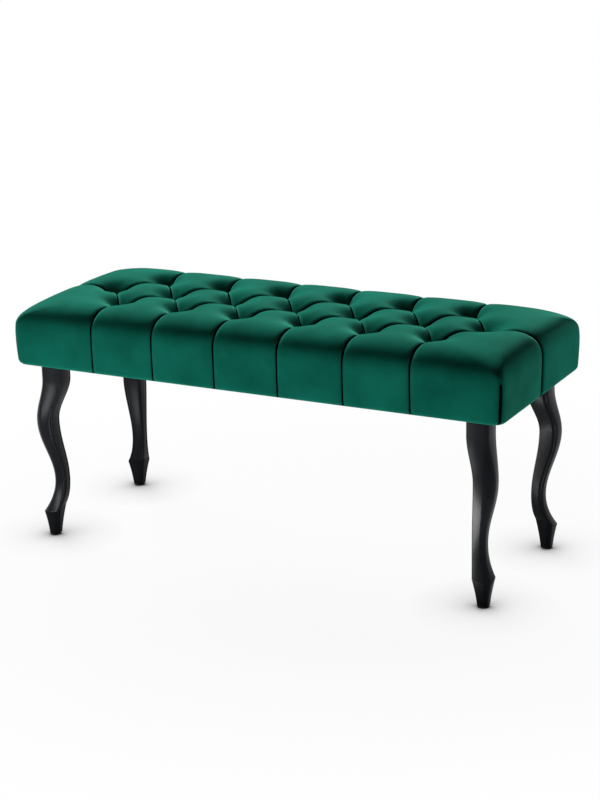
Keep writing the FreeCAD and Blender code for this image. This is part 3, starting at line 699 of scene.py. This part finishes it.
def section_rings(rows, arc_steps=10, flat_steps=7):
    """Square sections with a rolled outer corner, small arrises, bowed faces and grooved inner faces.

    Each flat keeps points at fixed distances from its ends. On an inner face the middle one of three
    sinks, which leaves a groove beside the arris.
    """
    out, side, nose, level = [rows[:, i:i + 1] for i in range(4)]
    half, beside, inner = side / 2, SIDE_ARRIS + 0 * side, INNER_ARRIS + 0 * side
    corners = [(-90, 1, -1, beside), (0, 1, 1, nose * side), (90, -1, 1, beside), (180, -1, -1, inner)]
    arcs = []
    for degrees, cx, cy, radius in corners:
        bend = math.radians(degrees) + np.linspace(0, math.pi / 2, arc_steps)[None, :]
        x, y = cx * (half - radius) + radius * np.cos(bend), cy * (half - radius) + radius * np.sin(bend)
        arcs.append(np.dstack([x, y]))
    inwards = np.array([(-1, 0), (0, -1), (1, 0), (0, 1)])
    grooved = [(0, 0), (0, 0), (1, 1), (0, 1)]
    ring = []
    for i, arc in enumerate(arcs):
        start, end = arc[:, -1:], arcs[(i + 1) % 4][:, :1]
        length = np.linalg.norm(end - start, axis=-1, keepdims=True)
        near = np.minimum(GROOVE_AT[None, :, None], 0.3 * length)
        sunk = np.array([0, GROOVE_DEPTH, 0])[None, :, None] * inwards[i]
        first = start + (end - start) / length * near
        last = end - ((end - start) / length * near)[:, ::-1]
        share = np.linspace(0, 1, flat_steps + 2)[None, 1:-1, None]
        middle = first[:, -1:] + (last[:, :1] - first[:, -1:]) * share
        ring += [arc, first + sunk * grooved[i][0], middle, last + sunk * grooved[i][1]]
    plan = np.concatenate(ring, axis=1)
    across = plan / half[..., None]
    bow = side * np.maximum(0, 1 - np.abs(across).min(axis=-1) ** 2)
    faces = OUTER_BOW * np.clip(2 * across - 1, 0, 1) - INNER_BOW * np.clip(-2 * across - 1, 0, 1)
    plan = plan + bow[..., None] * faces
    rise = leg_low_end(level) * LIP_RISE * (2 - across.sum(axis=-1)) / 2
    return np.dstack([plan + out[..., None], level + rise])


def cap_rows(ring):
    """Rows that close an end: its ring drawn in to the centre by shares."""
    centre = ring.mean(axis=0)
    return centre + (ring - centre) * CAP_SHARES[:, None, None]


def leg_grid(sx, sy):
    """Rows from the top's centre, down the leg, over the lip, down the foot and in to the tip's centre."""
    top = BLOCK * [1, 1, 1, 0] + [0, 0, 0, leg_top]
    rows = [leg_rows(top, BLOCK, 8, sweep), leg_rows(BLOCK, KNEE, 44, sweep)]
    rows += [leg_rows(KNEE, ANKLE, 60, sweep), leg_rows(ANKLE, TOE, 40, np.square)]
    rows += [TOE[None, :], foot_rows(26)]
    body = section_rings(np.concatenate(rows))
    grid = np.concatenate([cap_rows(body[0]), body, cap_rows(body[-1])[::-1]])
    return (grid + np.array([LEG_X, LEG_Y, 0])) * np.array([sx, sy, 1])

# %% [markdown]
# ## Black lacquer
#
# The legs are sprayed black: a near-black base with a soft, low gloss and a slight waviness from
# the sanded wood below. The foot under the toe's lip is more matt.

# %% Lacquer materials
def lacquer(name, roughness, specular):
    """Near-black paint, slightly uneven along the leg."""
    material, tree, shader = new_material(name)
    colour = ramp(tree, noise(tree, 60, 3, (1, 1, 0.2)), (0.003, 0.004, 0.006), (0.007, 0.009, 0.012))
    tree.links.new(colour, shader.inputs["Base Color"])
    shader.inputs["Roughness"].default_value = roughness
    shader.inputs["Specular IOR Level"].default_value = specular
    add_bump(tree, shader, noise(tree, 90, 2, (1, 1, 0.25)), 0.05 * MM, 0.4)
    return material


gloss_black = lacquer("gloss_black_lacquer", 0.32, 0.08)
satin_black = lacquer("satin_black_lacquer", 0.45, 0.05)
for corner, (sx, sy) in LEG_CORNERS.items():
    leg = surface("cabriole_leg_" + corner, [leg_grid(sx, sy)], wrap=True, weld=0.03 * MM)
    finish_piece(leg, gloss_black, "leg_lacquer", "leg_" + corner)
    leg.data.materials.append(satin_black)
    places, facing = np.empty(len(leg.data.polygons) * 3), np.empty(len(leg.data.polygons) * 3)
    leg.data.polygons.foreach_get("center", places)
    leg.data.polygons.foreach_get("normal", facing)
    foot = (places[2::3] < TOE[3] + 2 * LIP_RISE) & (facing[2::3] < -0.05)
    leg.data.polygons.foreach_set("material_index", foot.astype(np.int32))

# %% [markdown]
# ## Pieces that keep their solids
#
# The timber, the fittings and the glides are right as they are and only need a finish.

# %% Finishes for the frame
def timber(name, low, high, stretch):
    """Wood: noise drawn out along the grain for colour and relief."""
    material, tree, shader = new_material(name)
    grain = noise(tree, 40, 5, stretch)
    tree.links.new(ramp(tree, grain, low, high), shader.inputs["Base Color"])
    shader.inputs["Roughness"].default_value = 0.6
    add_bump(tree, shader, grain, 0.2 * MM)
    return material


def metal(name):
    """Zinc-plated steel with a cloudy finish."""
    material, tree, shader = new_material(name)
    cloud = noise(tree, 300, 3)
    tree.links.new(ramp(tree, cloud, (0.45, 0.45, 0.46), (0.66, 0.66, 0.68)), shader.inputs["Base Color"])
    shader.inputs["Metallic"].default_value = 1.0
    shader.inputs["Roughness"].default_value = 0.35
    return material


pine_long = timber("pine_along_x", (0.50, 0.33, 0.17), (0.70, 0.52, 0.32), (0.06, 1, 1))
pine_cross = timber("pine_along_y", (0.50, 0.33, 0.17), (0.70, 0.52, 0.32), (1, 0.06, 1))
plywood = timber("birch_plywood", (0.58, 0.43, 0.26), (0.74, 0.60, 0.41), (0.08, 0.8, 8))
steel = metal("zinc_plated_steel")
moulded = fibre("moulded_black_plastic", (0.014, 0.014, 0.015), (0.022, 0.022, 0.023), 500, 0.05 * MM)
twine = fibre("waxed_green_twine", (0.006, 0.05, 0.036), (0.012, 0.09, 0.066), 2500, 0.1 * MM)
FINISHES = {
    "front_rail": pine_long, "back_rail": pine_long, "left_rail": pine_cross, "right_rail": pine_cross,
    "left_brace": pine_cross, "right_brace": pine_cross, "deck_panel": plywood,
    "tuft_ties": twine, "tuft_washers": steel, "tee_nuts": steel, "hanger_bolts": steel,
    "frame_screws": steel, "deck_screws": steel, "lining_staples": steel, "foot_glides": moulded,
    "corner_block_front_left": pine_long, "corner_block_front_right": pine_long,
    "corner_block_back_left": pine_long, "corner_block_back_right": pine_long,
}
for name, material in FINISHES.items():
    nodes[name].data.materials.clear()
    nodes[name].data.materials.append(material)
print("finished", len(FINISHES), "solids")

# %% [markdown]
# ## Floor, light and camera
#
# The bench stands on a white floor in a white room. The camera and the gloss on the legs see both as plain
# white, with soft painted shadows at the feet, darkened by ambient occlusion. One broad lamp behind and to
# the left lights the tops of the pillows. Two lamps lie on the floor in place of light thrown back by it and
# reach the front and the right end from below, so the rolled edge between stays dark. A tall card and a strip
# on the floor are there for the lacquer to mirror and light nothing else.

# %% Floor and world
FLOOR_GREY = (0.55, 0.55, 0.55, 1)
# Reach and darkness of the painted contact shadow on the floor.
CONTACT_REACH, CONTACT_DARK, CONTACT_LIGHT = 0.13, 0.45, 0.98
NEAR_FLOOR, FAR_FLOOR, NEAR_SHARE = 0.55, 1.2, 0.94
AMBIENT = 0.03


def seen_directly(tree):
    """1 for rays from the camera, a gloss or a clear piece and 0 for light falling on matt pieces."""
    path = tree.nodes.new("ShaderNodeLightPath")
    total = path.outputs["Is Camera Ray"]
    for kind in ("Is Glossy Ray", "Is Transmission Ray"):
        larger = tree.nodes.new("ShaderNodeMath")
        larger.operation = "MAXIMUM"
        tree.links.new(total, larger.inputs[0])
        tree.links.new(path.outputs[kind], larger.inputs[1])
        total = larger.outputs[0]
    return total


def white_floor():
    """White floor: matt grey for matt light, and for direct sight white with painted shadows where pieces are
    close.

    Round the bench a small share of the matt floor shows through.
    """
    material = bpy.data.materials.new("white_floor")
    material.use_nodes = True
    tree = material.node_tree
    tree.nodes.clear()
    output = tree.nodes.new("ShaderNodeOutputMaterial")
    diffuse = tree.nodes.new("ShaderNodeBsdfDiffuse")
    diffuse.inputs["Color"].default_value = FLOOR_GREY
    glow = tree.nodes.new("ShaderNodeEmission")
    contact = tree.nodes.new("ShaderNodeAmbientOcclusion")
    contact.inputs["Distance"].default_value = CONTACT_REACH
    # Painted contact shadow: ambient occlusion darkens the floor's white near the feet.
    painted_contact_shadow = ramp(tree, contact.outputs["AO"], (0, 0, 0), (1, 1, 1), CONTACT_DARK, CONTACT_LIGHT)
    tree.links.new(painted_contact_shadow, glow.inputs["Color"])
    coordinates = tree.nodes.new("ShaderNodeTexCoord")
    distance = tree.nodes.new("ShaderNodeVectorMath")
    distance.operation = "LENGTH"
    fade = tree.nodes.new("ShaderNodeMapRange")
    fade.inputs["From Min"].default_value = NEAR_FLOOR
    fade.inputs["From Max"].default_value = FAR_FLOOR
    fade.inputs["To Min"].default_value = NEAR_SHARE
    fade.inputs["To Max"].default_value = 1.0
    share = tree.nodes.new("ShaderNodeMath")
    share.operation = "MULTIPLY"
    mix = tree.nodes.new("ShaderNodeMixShader")
    tree.links.new(coordinates.outputs["Object"], distance.inputs[0])
    tree.links.new(distance.outputs["Value"], fade.inputs["Value"])
    tree.links.new(seen_directly(tree), share.inputs[0])
    tree.links.new(fade.outputs["Result"], share.inputs[1])
    tree.links.new(share.outputs[0], mix.inputs[0])
    tree.links.new(diffuse.outputs[0], mix.inputs[1])
    tree.links.new(glow.outputs[0], mix.inputs[2])
    tree.links.new(mix.outputs[0], output.inputs["Surface"])
    return material


span = np.linspace(-8, 8, 3)
floor_x, floor_y = np.meshgrid(span, span)
floor = surface("floor", [np.dstack([floor_x, floor_y, np.zeros_like(floor_x)])])
floor.data.materials.append(white_floor())

world = bpy.data.worlds.new("studio")
bpy.context.scene.world = world
world.use_nodes = True
tree = world.node_tree
tree.nodes.clear()
world_output = tree.nodes.new("ShaderNodeOutputWorld")
ambient = tree.nodes.new("ShaderNodeBackground")
ambient.inputs["Color"].default_value = (1, 1, 1, 1)
ambient.inputs["Strength"].default_value = AMBIENT
backdrop = tree.nodes.new("ShaderNodeBackground")
backdrop.inputs["Color"].default_value = (1, 1, 1, 1)
backdrop.inputs["Strength"].default_value = 1.0
mix = tree.nodes.new("ShaderNodeMixShader")
tree.links.new(seen_directly(tree), mix.inputs[0])
tree.links.new(ambient.outputs[0], mix.inputs[1])
tree.links.new(backdrop.outputs[0], mix.inputs[2])
tree.links.new(mix.outputs[0], world_output.inputs["Surface"])

# %% Lamps
def lamp(name, place, target, width, height, watts, in_gloss=True, in_matt=True, turn=0):
    """Rectangular soft lamp that faces a point. A bounce only lights, and a gloss card is only mirrored."""
    data = bpy.data.lights.new(name, "AREA")
    data.shape = "RECTANGLE"
    data.size, data.size_y, data.energy = width, height, watts
    light = bpy.data.objects.new(name, data)
    light.location = place
    light.rotation_euler = (Vector(target) - Vector(place)).to_track_quat("-Z", "Y").to_euler()
    light.rotation_euler.z += math.radians(turn)
    light.visible_glossy, light.visible_diffuse = in_gloss, in_matt
    bpy.context.scene.collection.objects.link(light)


SEAT_CENTRE = (0, 0, 0.45)
lamp("key_lamp", (-4.3, 2.9, 3.5), SEAT_CENTRE, 3.4, 1.9, 730)
lamp("front_bounce", (-0.3, -0.6, 0.012), (-0.3, -0.6, 1), 2.0, 0.45, 10.8, False)
lamp("gloss_card", (-1.35, -2.1, 1.6), (0, 0, 1.6), 0.5, 3.1, 120, True, False)
lamp("floor_gloss_strip", (0.02, -0.48, 0.012), (0.02, -0.48, 1), 0.9, 0.13, 9, True, False, 36)
lamp("end_bounce", (1.15, 0.4, 0.012), (1.15, 0.4, 1), 0.6, 1.0, 8.5, False)

# %% Camera
AZIMUTH, ELEVATION, ROLL = [math.radians(a) for a in (27.18, 17.03, -1.12)]
LOOK_AT = Vector((-0.042, 0.103, 0.25))
DISTANCE = 4.117
FOCAL_PIXELS, IMAGE_HEIGHT, SENSOR = 2108.6, 800, 36.0
level_part = math.cos(ELEVATION)
back = Vector((math.sin(AZIMUTH) * level_part, -math.cos(AZIMUTH) * level_part, math.sin(ELEVATION)))
right = Vector((0, 0, 1)).cross(back).normalized()
above = back.cross(right)
turned_right = right * math.cos(ROLL) + above * math.sin(ROLL)
turned_up = above * math.cos(ROLL) - right * math.sin(ROLL)
camera_data = bpy.data.cameras.new("camera")
camera_data.sensor_width = SENSOR
camera_data.lens = FOCAL_PIXELS / IMAGE_HEIGHT * SENSOR
camera = bpy.data.objects.new("camera", camera_data)
turn = Matrix((turned_right, turned_up, back)).transposed()
camera.matrix_world = Matrix.Translation(LOOK_AT + back * DISTANCE) @ turn.to_4x4()
bpy.context.scene.collection.objects.link(camera)
bpy.context.scene.camera = camera
bpy.context.scene.view_settings.view_transform = "Standard"
print("camera %.2f m away" % DISTANCE)
